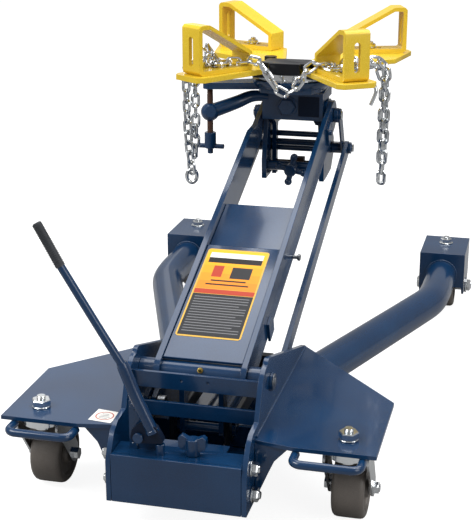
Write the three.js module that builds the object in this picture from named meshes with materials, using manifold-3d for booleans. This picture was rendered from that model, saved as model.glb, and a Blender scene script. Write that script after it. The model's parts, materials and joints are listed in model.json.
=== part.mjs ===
// Low-profile hydraulic transmission jack. Millimetres, +Z up, +Y towards the front wheels.
// Lengths along Y are counted from the outer face of the handle-end plate; Y_MID moves
// the finished part so that its origin lies under the middle of the bounding box.
import * as THREE from 'three';
import { mergeVertices } from 'three/addons/utils/BufferGeometryUtils.js';
import Module from 'manifold-3d';

const wasm = await Module();
wasm.setup();

// ---------------------------------------------------------------- driving dimensions
const Y_MID = 603;                 // half of the overall length
const GAP = 0.3;                   // gap between touching pieces
const PLATE = 8;                   // frame plate thickness
const FRAME_X = 109;               // outer face of the side plates
const INNER_X = FRAME_X - PLATE;   // their inner face
const FRAME_Z = 46;                // ground clearance of the frame
const WHEEL_R = 50, WHEEL_W = 50;  // four-inch wheels, two inches wide
const PIVOT = [159.5, 197.5];      // lift-arm pivot (y, z)
const ARM_L = 778;                 // pivot to head pin
const ARM_DEG = 20.7;              // arm angle as shown
const CASTER = [244, 87, 46];      // swivel x, y and trail
const FRONT = [290, 1138];         // front wheel x, y
const BAR_OFF = [45, -76];         // levelling-bar pivots, from the arm pivots (y, z)
const SADDLE = [0, 824];           // middle of the saddle (x, y)
const SADDLE_Z = 572.7;            // top of the saddle's lugs
const TILT_X = -10;                // side-tilt bolt

const C = Math.cos(ARM_DEG * Math.PI / 180), S = Math.sin(ARM_DEG * Math.PI / 180);
const armPt = (t, h) => [PIVOT[0] + t * C - h * S, PIVOT[1] + t * S + h * C];
const HEAD = armPt(ARM_L, 0);      // head pin (y, z)
const BAR_LOW = [PIVOT[0] + BAR_OFF[0], PIVOT[1] + BAR_OFF[1]];
const BAR_TOP = [HEAD[0] + BAR_OFF[0], HEAD[1] + BAR_OFF[1]];

// ---------------------------------------------------------------- small tools
const paint = (hex, rough = 0.4, metal = 0.1) =>
  new THREE.MeshStandardMaterial({ color: hex, roughness: rough, metalness: metal });
const NAVY = paint(0x1b2f52), YELLOW = paint(0xe3bd2c), ZINC = paint(0xb9bdc2, 0.35, 0.9);
const STEEL = paint(0x8d9095, 0.4, 0.9), BROWN = paint(0x5a4433, 0.6, 0.5);
const WHEEL = paint(0x3a3634, 0.7, 0), BLACK = paint(0x16181c, 0.5, 0.2);

function solid(geometry) {
  const bare = new THREE.BufferGeometry();
  bare.setAttribute('position', geometry.attributes.position);
  if (geometry.index) bare.setIndex(geometry.index);
  const g = mergeVertices(bare, 1e-4);
  return new wasm.Manifold(new wasm.Mesh({
    numProp: 3,
    vertProperties: Float32Array.from(g.attributes.position.array),
    triVerts: Uint32Array.from(g.index.array),
  }));
}

const join = (...s) => s.reduce((a, b) => a.add(b));
const cut = (a, ...s) => s.reduce((p, q) => p.subtract(q), a);
const flip = s => s.mirror([1, 0, 0]);

function box(x0, x1, y0, y1, z0, z1) {
  const g = new THREE.BoxGeometry(x1 - x0, y1 - y0, z1 - z0);
  return solid(g.translate((x0 + x1) / 2, (y0 + y1) / 2, (z0 + z1) / 2));
}

const arc = (cx, cy, r, from, to, n = 8) => Array.from({ length: n + 1 }, (_, i) => {
  const a = (from + (to - from) * i / n) * Math.PI / 180;
  return [cx + r * Math.cos(a), cy + r * Math.sin(a)];
});

// A flat outline (plane 'yz', 'xz' or 'xy') given thickness from a to b on the third axis.
function prism(plane, pts, a, b) {
  const shape = new THREE.Shape(pts.map(p => new THREE.Vector2(p[0], p[1])));
  const g = new THREE.ExtrudeGeometry(shape, { depth: b - a, bevelEnabled: false });
  const m = new THREE.Matrix4();
  if (plane === 'yz') m.set(0, 0, 1, a, 1, 0, 0, 0, 0, 1, 0, 0, 0, 0, 0, 1);
  if (plane === 'xz') m.set(1, 0, 0, 0, 0, 0, -1, b, 0, 1, 0, 0, 0, 0, 0, 1);
  if (plane === 'xy') m.makeTranslation(0, 0, a);
  return solid(g.applyMatrix4(m));
}

// A round bar along 'x', 'y' or 'z' through (p, q), from a to b.
function rod(axis, p, q, r, a, b, n = 16) {
  const g = new THREE.CylinderGeometry(r, r, b - a, n).translate(0, (a + b) / 2, 0);
  if (axis === 'x') return solid(g.rotateZ(-Math.PI / 2).translate(0, p, q));
  if (axis === 'z') return solid(g.rotateX(Math.PI / 2).translate(p, q, 0));
  return solid(g.translate(p, 0, q));
}
const hex = (axis, p, q, r, a, b) => rod(axis, p, q, r, a, b, 6);

// A round bar along a line of points; up lies square to the bend plane.
function sweep(path, radius, up, n = 12) {
  const pts = path.map(p => new THREE.Vector3(...p)), pos = [], idx = [];
  const rad = i => Array.isArray(radius) ? radius[i] : radius;
  const U = new THREE.Vector3(...up);
  pts.forEach((p, i) => {
    const a = pts[Math.max(i - 1, 0)], b = pts[Math.min(i + 1, pts.length - 1)];
    const t = b.clone().sub(a).normalize();
    const side = new THREE.Vector3().crossVectors(t, U).normalize();
    const v = new THREE.Vector3().crossVectors(side, t);
    for (let k = 0; k < n; k++) {
      const w = 2 * Math.PI * k / n, r = rad(i);
      const q = p.clone().addScaledVector(side, r * Math.cos(w));
      q.addScaledVector(v, r * Math.sin(w));
      pos.push(q.x, q.y, q.z);
    }
  });
  const last = pts.length - 1;
  for (let i = 0; i < last; i++) for (let k = 0; k < n; k++) {
    const a = i * n + k, b = i * n + (k + 1) % n, c = a + n, d = b + n;
    idx.push(a, d, b, a, c, d);
  }
  for (let k = 1; k < n - 1; k++) {
    idx.push(0, k, k + 1, last * n, last * n + k + 1, last * n + k);
  }
  const g = new THREE.BufferGeometry();
  g.setAttribute('position', new THREE.Float32BufferAttribute(pos, 3));
  g.setIndex(idx);
  const s = solid(g);
  if (s.volume() > 0) return s;
  g.setIndex(idx.reverse());
  return solid(g);
}

const group = new THREE.Group();
group.name = 'transmission_jack';

function add(name, s, material) {
  const m = s.getMesh(), g = new THREE.BufferGeometry();
  g.setAttribute('position', new THREE.BufferAttribute(new Float32Array(m.vertProperties), 3));
  g.setIndex([...m.triVerts]);
  g.translate(0, -Y_MID, 0);
  const flat = g.toNonIndexed();
  flat.computeVertexNormals();
  const mesh = new THREE.Mesh(flat, material);
  mesh.name = name;
  group.add(mesh);
}
function addPair(name, right, material) {
  add(`${name}_right`, right, material);
  add(`${name}_left`, flip(right), material);
}

// ---------------------------------------------------------------- frame
function sidePlate() {
  const outline = [[GAP, FRAME_Z], [441, FRAME_Z], [441, 150], [234, 215],
    ...arc(148, 226, 15, 70, 150, 6), [123, 232], [106, 222], [93, 197], [78, 164],
    [42, 161], [24, 151], [8, 128], [GAP, 112]];
  return cut(prism('yz', outline, INNER_X, FRAME_X), rod('x', ...PIVOT, 12.3, 90, 120));
}

function wing() {
  const deck = [[FRAME_X + GAP, 51], [168, 40], [292.5, 40], [292.5, 235], [FRAME_X + GAP, 441]];
  const web = [[FRAME_X + GAP, 48], [116, 65], [139, 117], [163, 143], [FRAME_X + GAP, 143]];
  return cut(join(prism('xy', deck, 142, 148.5), prism('xz', web, 50, 56)),
    rod('z', CASTER[0], CASTER[1], 10.3, 130, 160));
}

function leg() {
  const path = [[95, 373, 92], [267.5, 840, 92], [277, 868, 92], [284.5, 898, 92],
    [288.8, 930, 92], [289.6, 964, 92], [289.6, 1090, 92]];
  const ends = [box(0, FRAME_X + GAP, 300, 900, 0, 200), box(200, 400, 1070.7, 1200, 0, 200)];
  return cut(sweep(path, 32, [0, 0, 1], 16), sweep(path, 28, [0, 0, 1], 16), ...ends);
}

function housing() {
  const [x] = FRONT, w = 48.8, z = 139.8;
  const cheek = [[1071, z], [1071, 62], [1084, 46], ...arc(1138, 52, 18, 200, 340, 8),
    [1190, 46], [1206, 66], [1206, z]];
  const shell = join(prism('yz', cheek, x - w, x - w + 5), prism('yz', cheek, x + w - 5, x + w),
    box(x - w + 2, x + w - 2, 1071, 1206, z - 6, z), box(x - w + 2, x + w - 2, 1071, 1077, 64, z));
  return cut(shell, rod('x', FRONT[1], WHEEL_R, 8.3, 200, 400),
    rod('z', x, 1156, 7.3, 120, 150));
}

function loopHandle() {
  const z = 135.2, r = 14;
  const bend = (cx, cy, a0, a1) => arc(cx, cy, r, a0, a1, 3).map(p => [p[0], p[1], z]);
  return sweep([[172, 46, z], ...bend(172 + r, 13 + r, 180, 270), ...bend(272 - r, 13 + r, 270, 360),
    [272, 46, z]], 6.5, [0, 0, 1], 10);
}

function wheel(x, y, bore) {
  const w = WHEEL_W / 2;
  const p = [[bore, -w - 2], [16, -w - 2], [18, -w + 4], [35, -w], [46, -w], [WHEEL_R, -w + 5],
    [WHEEL_R, w - 5], [46, w], [35, w], [18, w - 4], [16, w + 2], [bore, w + 2], [bore, -w - 2]];
  const g = new THREE.LatheGeometry(p.map(q => new THREE.Vector2(q[0], q[1])), 24);
  const s = solid(g.rotateZ(-Math.PI / 2).translate(x, y, WHEEL_R));
  return s;
}

function frame() {
  const inside = INNER_X - GAP;
  add('end_plate', join(box(-inside, inside, 0, 8, FRAME_Z, 124),
    box(-inside, inside, 0, 441, FRAME_Z, 51)), NAVY);
  addPair('side_plate', sidePlate(), NAVY);
  addPair('wing', wing(), NAVY);
  const upper = box(-INNER_X + GAP, INNER_X - GAP, 114, 120, 188, 214);
  add('cross_member_upper', cut(upper, rod('y', -22, 203, 2.5, 100, 130, 12),
    rod('y', 20, 204, 2.5, 100, 130, 12)), NAVY);
  add('cross_member_lower', box(-INNER_X + GAP, INNER_X - GAP, 112, 118, 142, 166), NAVY);
  addPair('leg', leg(), NAVY);
  addPair('housing', housing(), NAVY);
  addPair('loop_handle', loopHandle(), NAVY);

  const collar = rod('x', ...PIVOT, 20, 75, INNER_X - GAP);
  const cap = rod('x', ...PIVOT, 15, FRAME_X + GAP, FRAME_X + 4);
  add('pivot_shaft', join(rod('x', ...PIVOT, 12, -FRAME_X - 5, FRAME_X + 5), collar, flip(collar),
    cap, flip(cap)), STEEL);
  addPair('bar_stud', join(rod('x', ...BAR_LOW, 12, 76, 89.7), rod('x', ...BAR_LOW, 8, 80,
    INNER_X - GAP)), STEEL);

  const [cx, cy] = CASTER;
  addPair('caster_stem', join(rod('z', cx, cy, 10, 138, 150), hex('z', cx, cy, 15.6, 148.8, 161),
    rod('z', cx, cy, 6.5, 155, 165, 16), rod('z', cx, cy, 26, 134, 141.7),
    rod('z', cx, cy, 8, 118, 136), rod('z', cx, cy, 13, 112, 121.7)), ZINC);
  const [fx, fy] = FRONT;
  const nut = [hex('x', fy, WHEEL_R, 13, fx + 49.1, fx + 60), hex('x', fy, WHEEL_R, 13,
    fx - 58, fx - 49.1)];
  addPair('front_axle', join(rod('x', fy, WHEEL_R, 8, fx - 54, fx + 62), ...nut,
    rod('x', fy, WHEEL_R, 12, fx + 27.5, fx + 43.5), rod('x', fy, WHEEL_R, 12, fx - 43.5,
      fx - 27.5)), ZINC);
}

// ---------------------------------------------------------------- hydraulics
function hydraulics() {
  const barrel = join(rod('y', 0, 80, 28, 215, 395, 24), box(-INNER_X + GAP, INNER_X - GAP,
    215, 227, 51 + GAP, 88));
  add('cylinder', cut(barrel, rod('y', 0, 80, 14.3, 221, 400, 16)), NAVY);

  const bar = prism('yz', [[132, 92], [187, 92], [195, 100], [454, 100], [454, 124], [195, 124],
    [187, 134], [132, 134]], 41, 49);
  const slot = box(38, 52, PIVOT[0] - 9, PIVOT[0] + 9, 98.5, 127);
  const tie = cut(bar, slot);
  add('ram', join(rod('y', 0, 80, 14, 262, 440), box(-49, 49, 436, 454, 64, 124), tie,
    flip(tie)), STEEL);

  const mount = [[-80, 118], [-36, 118], [-36, 146], [-50, 176], [-70, 205], [-80, 200]];
  const body = join(box(-84, 62, 8.3, 88, 58, 115), box(-100, 100, 8.3, 48, 112, 124), prism('xz', mount, 31, 37),
    rod('y', -60, 150, 5, 12, 34, 16), rod('y', -60, 150, 8, 9.5, 13.7, 16));
  add('pump_block', cut(body, rod('z', -28, 20, 7.4, 66, 130), rod('z', 19.5, 30, 5.4, 98, 130)),
    NAVY);
  add('pump_plunger', rod('z', -28, 20, 7, 84, 141), STEEL);

  const lever = prism('xz', [[-68, 140], [-31, 143], ...arc(-28, 148, 6, -90, 40, 5), [-33, 168],
    [-52, 178], [-70, 162], [-73, 149]], 13.9, 27);
  const socket = sweep([[-40, 20, 160], [-66, 20, 217], [-85, 20, 265]], [9.3, 9.3, 9.3],
    [0, 1, 0], 12);
  const pole = sweep([[-82, 20, 258], [-111, 20, 304], [-176, 20, 410]], 6.3, [0, 1, 0], 10);
  const grip = sweep([[-174.5, 20, 407], [-193, 20, 441], [-209, 20, 470]], 7, [0, 1, 0], 12);
  add('pump_handle', cut(join(lever, socket, pole, grip), rod('y', -60, 150, 5.3, 5, 40, 16)),
    NAVY);
  add('release_knob', join(rod('z', 19.5, 30, 5, 102, 132, 16), rod('z', 19.5, 30, 11, 124.6, 150),
    prism('xz', [[-2, 138], [3, 133], [36, 133], [41, 138], [41, 152], [36, 156], [24, 150],
      [15, 150], [3, 156], [-2, 152]], 24, 36)), NAVY);
}

// ---------------------------------------------------------------- lift arm and bars
function armPlate(left) {
  const P = (t, h) => armPt(t, h);
  const low = arc(...PIVOT, 28, ARM_DEG + 90, ARM_DEG + 270, 12);
  const end = left ? 22 : 30;
  const top = arc(...HEAD, end, ARM_DEG - 90, ARM_DEG + 90, 12);
  const neck = left ? [P(693, 22), P(650, 35)] : [P(700, 36)];
  const under = [P(640, -32)];
  const s = prism('yz', [...low, ...under, ...top, ...neck], 65, 74.5);
  return cut(s, rod('x', ...PIVOT, 12.3, 50, 90), rod('x', ...HEAD, 10.3, 50, 90));
}

function liftArm() {
  add('arm_plate_right', armPlate(false), NAVY);
  add('arm_plate_left', flip(armPlate(true)), NAVY);
  const fold = [[6, 25.6], [297.5, 25.6], [304, 18], [431, 18], [431, 13], [301, 13],
    [294, 20.6], [6, 20.6]].map(p => armPt(...p)).reverse();
  add('arm_cover', prism('yz', fold, -64.7, 64.7), NAVY);

  const web = prism('yz', [...arc(PIVOT[0], PIVOT[1] - 90, 12.5, 180, 360, 8),
    [PIVOT[0] + 12.5, PIVOT[1]], [PIVOT[0] - 12.5, PIVOT[1]]], 28, 36);
  const hub = join(rod('x', ...PIVOT, 20, -64.7, 64.7, 20), web, flip(web),
    rod('x', PIVOT[0], PIVOT[1] - 90, 8, -54, 54));
  add('pivot_tube', cut(hub, rod('x', ...PIVOT, 12.3, -90, 90)), NAVY);

  const d = 14, [a, b] = [BAR_LOW, BAR_TOP];
  const bar = prism('yz', [...arc(...a, d, ARM_DEG + 90, ARM_DEG + 270, 8),
    ...arc(...b, d, ARM_DEG - 90, ARM_DEG + 90, 8)], 90, 98.5);
  addPair('levelling_bar', cut(bar, rod('x', ...a, 8.3, 80, 110), rod('x', ...b, 8.3, 80, 110)),
    NAVY);
}

// ---------------------------------------------------------------- head
function head() {
  const [y, z] = HEAD, rodY = 917, rodZ = 424, screwZ = 370, nutY = 890, frontY = 856;
  const yoke = [[862, 497], [868, 502], [908, 502], [914, 497], [925, 440], [952, 414],
    [952, 380], [925, 352], [880, 347], [840, 345], [838, 385], [852, 440]];
  const holes = [rod('x', y, z, 10.3, 40, 90), rod('x', ...BAR_TOP, 8.3, 40, 90),
    rod('x', rodY, rodZ, 6.3, 40, 90), rod('x', frontY, screwZ, 8.3, 40, 90)];
  addPair('yoke', cut(prism('yz', yoke.reverse(), 54.2, 64), ...holes), NAVY);
  const pinHead = rod('x', y, z, 15, 75, 84), barHead = rod('x', ...BAR_TOP, 12, 98.8, 104);
  const barCollar = rod('x', ...BAR_TOP, 12, 64.3, 89.7);
  add('head_pin', join(rod('x', y, z, 10, -88, 88), pinHead, flip(pinHead)), STEEL);
  add('bar_rod', join(rod('x', ...BAR_TOP, 8, -106, 106), barHead, flip(barHead), barCollar,
    flip(barCollar)), STEEL);
  add('cross_rod', rod('x', rodY, rodZ, 6, -64, 64, 16), STEEL);
  const trunnion = join(rod('x', frontY, screwZ, 10, -53.9, 53.9), rod('x', frontY, screwZ, 8,
    -64, 64));
  add('screw_trunnion', cut(trunnion, rod('y', 0, screwZ, 6.5, 800, 900, 12)), STEEL);

  const lobes = [];
  for (const a of [20, 110, 200, 290]) {
    const c = Math.cos(a * Math.PI / 180), s = Math.sin(a * Math.PI / 180);
    lobes.push(sweep([[0, 826, screwZ], [19 * c, 826, screwZ + 19 * s]], [6, 4.5], [0, 1, 0], 12));
    lobes.push(solid(new THREE.SphereGeometry(6.5, 8, 6).translate(21 * c, 826, screwZ + 21 * s)));
  }
  add('star_screw', join(rod('y', 0, screwZ, 10, 815, 838), rod('y', 0, screwZ, 6, 830, 914, 12),
    ...lobes), NAVY);
  add('tilt_nut', cut(join(box(-14, 14, nutY - 9, nutY + 9, 358, 382),
    rod('x', nutY, screwZ, 5, -51, 51, 16)), rod('y', 0, screwZ, 6.4, 850, 930, 12)), BROWN);

  // lower casting: two walls along X, two webs on the head pin, a forked tail, the side elbow
  const wall = (a, b, x) => box(-x, x, a, b, 470, 524);
  const web = prism('yz', [[836, 472], [868, 454], [908, 454], [938, 472], [938, 500],
    [836, 500]], 40, 53.6);
  const tail = prism('yz', [[nutY - 7, 346], [nutY + 7, 346], [nutY + 7, 440], [905, 470],
    [872, 470], [nutY - 7, 440]], 43, 52);
  const fork = box(38, 56, nutY - 5.3, nutY + 5.3, 340, 378);
  const bolt = [rod('y', TILT_X, 498, 8.5, 836, 938, 16), hex('y', TILT_X, 498, 15, 820, 830.5),
    rod('y', TILT_X, 498, 12, 941, 950, 16)];
  const tailCut = cut(tail, fork, rod('x', y, z, 10.3, 10, 90));
  const base = join(wall(830, 842, 61), wall(932, 944, 53.6), web, flip(web),
    tailCut, flip(tailCut), ...bolt);
  const elbow = join(sweep([[-50, 836, 515], [-70, 834, 515], [-84, 829, 514],
    [-112, 813, 503], [-158, 790, 487]], [9.4, 9.4, 9.5, 13, 14], [0, 0, 1], 12),
  solid(new THREE.SphereGeometry(18, 14, 8).translate(-158, 790, 487)));
  add('tilt_base', cut(join(base, elbow), rod('x', y, z, 10.3, -90, 90),
    rod('z', -158, 790, 6.5, 440, 530, 12)), NAVY);
  add('tee_screw', join(rod('z', -158, 790, 6, 440, 522, 12), solid(new THREE.CylinderGeometry(
    3, 6, 5, 12).rotateX(Math.PI / 2).translate(-158, 790, 524.4)),
  rod('z', -158, 790, 11, 415, 445, 20), rod('x', 790, 418, 4.5, -185, -131, 12),
  rod('z', -158, 790, 5, 404, 418, 12)), BROWN);
}

// ---------------------------------------------------------------- table and saddle
function table() {
  const outline = [[-50, 764], [0, 752], [50, 764], [62, 800], [62, 925], [-62, 925], [-80, 850],
    ...arc(-158, 790, 14, 120, 290, 8), [-62, 800]];
  const lug = join(box(TILT_X - 13, TILT_X + 30, 850, 922, 498, 540),
    rod('y', TILT_X, 498, 13.5, 850, 922, 16));
  add('tilt_table', cut(join(prism('xy', outline, 534, 547), lug,
    rod('z', 0, SADDLE[1], 52, 545, 562.4, 28)), rod('y', TILT_X, 498, 9, 840, 930, 16)), NAVY);

  const pins = [[52, 786], [52, 862], [-52, 786], [-52, 862]].flatMap(([x, y]) => [
    rod('z', x, y, 8, 565, 586, 16), hex('z', x, y, 13, SADDLE_Z + 10.6, SADDLE_Z + 18)]);
  const tongue = [...arc(52, 786, 20, -120, 20, 6), [62, 824], [0, 862], [-20, 800], [0, 780]];
  const front = prism('xy', tongue, 562.7, SADDLE_Z);
  const rear = front.mirror([0, 1, 0]).translate([0, 2 * SADDLE[1], 0]);
  add('saddle_plate', join(rod('z', 0, SADDLE[1], 33, 562.7, 585, 28), front, rear,
    flip(front), flip(rear), ...pins), BLACK);
}

// frames of the four brackets on the right side: inner end, direction, slide stud
const BRACKETS = { front: [[80.4, 752.5], -55], rear: [[68, 999], 18.5] };

function saddleArm(end) {
  const z0 = SADDLE_Z + GAP, z1 = z0 + 10, front = end === 'front';
  const pivot = front ? [52, 786] : [52, 862];
  const outline = front
    ? [...arc(...pivot, 30, 35, 215, 10), [122, 622], [138, 618], [186, 652], [188, 668]]
    : [...arc(...pivot, 30, 170, 330, 10), [188, 935], [206, 1048], [198, 1066], [180, 1072],
      [66, 1036], [52, 1020]];
  const [[ix, iy], deg] = BRACKETS[end], a = deg * Math.PI / 180;
  const sx = ix + 60 * Math.cos(a), sy = iy + 60 * Math.sin(a);
  const stud = join(rod('z', sx, sy, 5, z1 - 2, z1 + 20, 12), hex('z', sx, sy, 9.5, z1 + 8.6,
    z1 + 16));
  return cut(join(prism('xy', outline, z0, z1), stud), rod('z', ...pivot, 8.3, 560, 620, 16));
}

function bracket(end) {
  const z = SADDLE_Z + GAP + 10 + GAP, h = 92, L = 130, w = 25, t = 8;
  const outer = [[0, 0], [L - 6, 0], [L, 6], [L, h - 5], [L - 5, h], [L - 26, h], [0, 35]];
  const inner = [[t, t], [L - t - 3, t], [L - t, t + 3], [L - t, h - t - 2],
    [L - t - 2, h - t], [L - 26, h - t], [t, 31]];
  const strip = pts => solid(new THREE.ExtrudeGeometry(
    new THREE.Shape(pts.map(p => new THREE.Vector2(...p))), { depth: 2 * w, bevelEnabled: false })
    .rotateX(Math.PI / 2).translate(0, w, 0));
  const wide = pts => solid(new THREE.ExtrudeGeometry(
    new THREE.Shape(pts.map(p => new THREE.Vector2(...p))), { depth: 4 * w, bevelEnabled: false })
    .rotateX(Math.PI / 2).translate(0, 2 * w, 0));
  const slotZ = join(box(L - 20, L + 20, -6, 6, 22, 65), rod('x', 0, 22, 6, L - 20, L + 20, 16),
    rod('x', 0, 65, 6, L - 20, L + 20, 16));
  const slotX = join(box(42, 78, -5.5, 5.5, -5, 15), rod('z', 42, 0, 5.5, -5, 15, 16),
    rod('z', 78, 0, 5.5, -5, 15, 16));
  const [[ix, iy], deg] = BRACKETS[end];
  return cut(strip(outer), wide(inner), slotZ, slotX)
    .rotate([0, 0, deg]).translate([ix, iy, z]);
}

function saddle() {
  addPair('saddle_arm_front', saddleArm('front'), YELLOW);
  addPair('saddle_arm_rear', saddleArm('rear'), YELLOW);
  addPair('bracket_front', bracket('front'), YELLOW);
  addPair('bracket_rear', bracket('rear'), YELLOW);
}

// ---------------------------------------------------------------- wheels
function casters() {
  const [x, y, trail] = CASTER, ay = y + trail;
  const cheek = prism('yz', [[66, 133.7], [62, 120], [120, 42], ...arc(ay, WHEEL_R, 14, 220, 360, 8),
    [146, 62], [112, 118], [108, 133.7]].reverse(), x + 31, x + 35);
  const other = cheek.translate([-66, 0, 0]);
  const axle = [rod('x', ay, WHEEL_R, 6, x - 42, x + 44, 16), hex('x', ay, WHEEL_R, 10,
    x + 34.5, x + 42), hex('x', ay, WHEEL_R, 10, x - 42, x - 34.5)];
  const crown = join(rod('z', x, y, 30, 123, 133.7, 20), box(x - 35, x + 35, 72, 104, 127, 133.7));
  addPair('caster_fork', cut(join(crown, cheek, other, ...axle), rod('z', x, y, 8.4, 110, 140),
    rod('z', x, y, 15, 110, 122)), ZINC);
  addPair('caster_wheel', wheel(x, ay, 6.3), WHEEL);
  addPair('front_wheel', wheel(FRONT[0], FRONT[1], 8.3), WHEEL);
}

function chains() {
  const tail = (x, y, z0, z1) => sweep([[x, y, z0], [x, y, z0 + 8], [x, y, z1 - 8], [x, y, z1]],
    [5, 8.5, 8.5, 5], [0, 1, 0], 12);
  add('chain_left', tail(-173, 700, 375, 566), ZINC);
  add('chain_right', tail(190, 750, 372, 566), ZINC);
}

frame();
hydraulics();
liftArm();
head();
table();
saddle();
casters();
chains();

export default group;
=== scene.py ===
# %% [markdown]
# A low-profile hydraulic transmission jack: a welded frame on four wheels, a lift arm that
# carries a levelling head, and a saddle of four swinging arms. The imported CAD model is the
# frame here: every piece is in metres in its coordinates, and rides on one of its bodies.

# %% Load the frame
import json
import math

import bmesh
import bpy
import numpy as np
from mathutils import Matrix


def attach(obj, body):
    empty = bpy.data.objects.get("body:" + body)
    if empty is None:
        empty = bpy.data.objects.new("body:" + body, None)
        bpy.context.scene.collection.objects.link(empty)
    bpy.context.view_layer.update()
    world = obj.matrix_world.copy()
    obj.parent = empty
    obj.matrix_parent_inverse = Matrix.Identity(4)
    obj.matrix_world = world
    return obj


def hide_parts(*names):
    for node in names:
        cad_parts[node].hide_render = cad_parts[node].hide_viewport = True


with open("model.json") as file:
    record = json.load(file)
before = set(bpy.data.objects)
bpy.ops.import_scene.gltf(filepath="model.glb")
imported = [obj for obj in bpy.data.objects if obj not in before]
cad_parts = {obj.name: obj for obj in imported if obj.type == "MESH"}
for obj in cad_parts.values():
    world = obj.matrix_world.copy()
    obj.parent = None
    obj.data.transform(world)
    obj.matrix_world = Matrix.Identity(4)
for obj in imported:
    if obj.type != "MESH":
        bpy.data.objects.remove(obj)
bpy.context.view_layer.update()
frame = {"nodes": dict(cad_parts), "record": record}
NODES = frame["nodes"]
SLOT_OF = {part["node"]: part["material_slot"] for part in frame["record"]["subparts"]}
BODY_OF = {
    node: body
    for body, names in frame["record"]["behaviour"]["bodies"].items()
    for node in names
}

# %% [markdown]
# The driving sizes repeat those of the CAD, in millimetres. X is across the jack, Y runs from
# the handle-end plate to the front wheels and Z is the height above the floor. Every point
# goes through place(), which turns it into the frame's metres, centred along Y.

# %% Driving sizes
MM = 0.001
Y_MID = 603
ARM_ANGLE = math.radians(20.7)
PIVOT_Y, PIVOT_Z = 159.5, 197.5
ARM_LENGTH = 778
HEAD_Y = PIVOT_Y + ARM_LENGTH * math.cos(ARM_ANGLE)
HEAD_Z = PIVOT_Z + ARM_LENGTH * math.sin(ARM_ANGLE)
WHEEL_R = 50
CASTER_X, CASTER_STEM_Y, CASTER_WHEEL_Y = 244, 87, 133
FRONT_X, FRONT_WHEEL_Y, HOUSING_BOLT_Y = 290, 1138, 1156
SIDE_PLATE_X = 109
SADDLE_Y = 824
SIDES = {"right": 1, "left": -1}
ACROSS, ALONG, UP = (1, 0, 0), (0, 1, 0), (0, 0, 1)


def place(points):
    """Millimetres from the end plate to the frame's metres: (p - (0, Y_MID, 0)) / 1000."""
    return (np.asarray(points, float) - (0, Y_MID, 0)) * MM


def on_arm(x, t, h):
    """A point t along the lift arm and h above its pivot line, turned by the arm's angle."""
    y = PIVOT_Y + t * math.cos(ARM_ANGLE) - h * math.sin(ARM_ANGLE)
    z = PIVOT_Z + t * math.sin(ARM_ANGLE) + h * math.cos(ARM_ANGLE)
    return (x, y, z)


print("head pin at", round(HEAD_Y, 1), round(HEAD_Z, 1))

# %% [markdown]
# Paint on welded steel is a coloured coat with a faint orange-peel ripple. An image of painted
# steel could give that, but it would stretch over bent pieces. So each finish is one
# Principled shader, and noise in Object coordinates breaks up its colour and its gloss.

# %% Colour and node helpers
COAT_ROUGH = 0.08
CLOUD_SCALE = 9.0  # clouds of colour about 110 mm across
FINE_SHARE = 0.4  # how much the fine grain adds to the clouds
RAMP_ENDS = (0.32, 0.68)
BUMP_STRENGTH = 0.35


def linear(hex_code):
    """sRGB hex to linear RGBA."""
    c = np.array([int(hex_code[i : i + 2], 16) for i in (1, 3, 5)]) / 255
    c = np.where(c <= 0.04045, c / 12.92, ((c + 0.055) / 1.055) ** 2.4)
    return (*c.tolist(), 1.0)


def add_node(tree, kind, links=(), **values):
    """Adds a node. values sets properties or sockets; links are (socket, node, output)."""
    n = tree.nodes.new("ShaderNode" + kind)
    for key, value in values.items():
        if hasattr(n, key):
            setattr(n, key, value)
        else:
            n.inputs[key.replace("_", " ")].default_value = value
    for socket, source, output in links:
        tree.links.new(source.outputs[output], n.inputs[socket])
    return n


def finish(name, light, dark, rough, grain_mm, bump_mm, metal=0.0, coat=0.0, stretch=(1, 1, 1),
           specular=0.5):
    """A finish whose colour goes from dark to light with noise of the given grain size.

    The mix of clouds and grain also moves the roughness between 0.8 and 1.25 times rough, and
    the grain alone lifts the surface by bump_mm.
    """
    mat = bpy.data.materials.new(name)
    mat.use_nodes = True
    tree = mat.node_tree
    shader = tree.nodes["Principled BSDF"]
    shader.inputs["Metallic"].default_value = metal
    shader.inputs["Coat Weight"].default_value = coat
    shader.inputs["Coat Roughness"].default_value = COAT_ROUGH
    shader.inputs["Specular IOR Level"].default_value = specular
    where = add_node(tree, "TexCoord")
    scaled = add_node(tree, "Mapping", [("Vector", where, "Object")], Scale=stretch)
    clouds = add_node(tree, "TexNoise", [("Vector", scaled, "Vector")], Scale=CLOUD_SCALE,
                      Detail=5.0)
    grain = add_node(tree, "TexNoise", [("Vector", scaled, "Vector")],
                     Scale=1 / (grain_mm * MM), Detail=2.0)
    # A Mix node holds the sockets of all its modes: 0 is the factor, 2 and 3 its floats A and B
    both = add_node(tree, "Mix", [(2, clouds, "Fac"), (3, grain, "Fac")], data_type="FLOAT")
    both.inputs[0].default_value = FINE_SHARE
    ramp = add_node(tree, "ValToRGB", [("Fac", both, "Result")])
    for stop, position, hex_code in zip(ramp.color_ramp.elements, RAMP_ENDS, (dark, light)):
        stop.position = position
        stop.color = linear(hex_code)
    gloss = add_node(tree, "MapRange", [("Value", both, "Result")], To_Min=rough * 0.8,
                     To_Max=rough * 1.25)
    bump = add_node(tree, "Bump", [("Height", grain, "Fac")], Strength=BUMP_STRENGTH,
                    Distance=bump_mm * MM)
    tree.links.new(ramp.outputs["Color"], shader.inputs["Base Color"])
    tree.links.new(gloss.outputs["Result"], shader.inputs["Roughness"])
    tree.links.new(bump.outputs["Normal"], shader.inputs["Normal"])
    return mat


print("node helpers ready")

# %% [markdown]
# The jack is enamelled navy, with a yellow saddle and a black centre plate, on plain bought-in
# hardware. Each finish is named for what it is. The grain of a sprayed coat is finer than
# these 1.6 to 2.2 mm, and is drawn this coarse so that its ripple shows at all.

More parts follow.
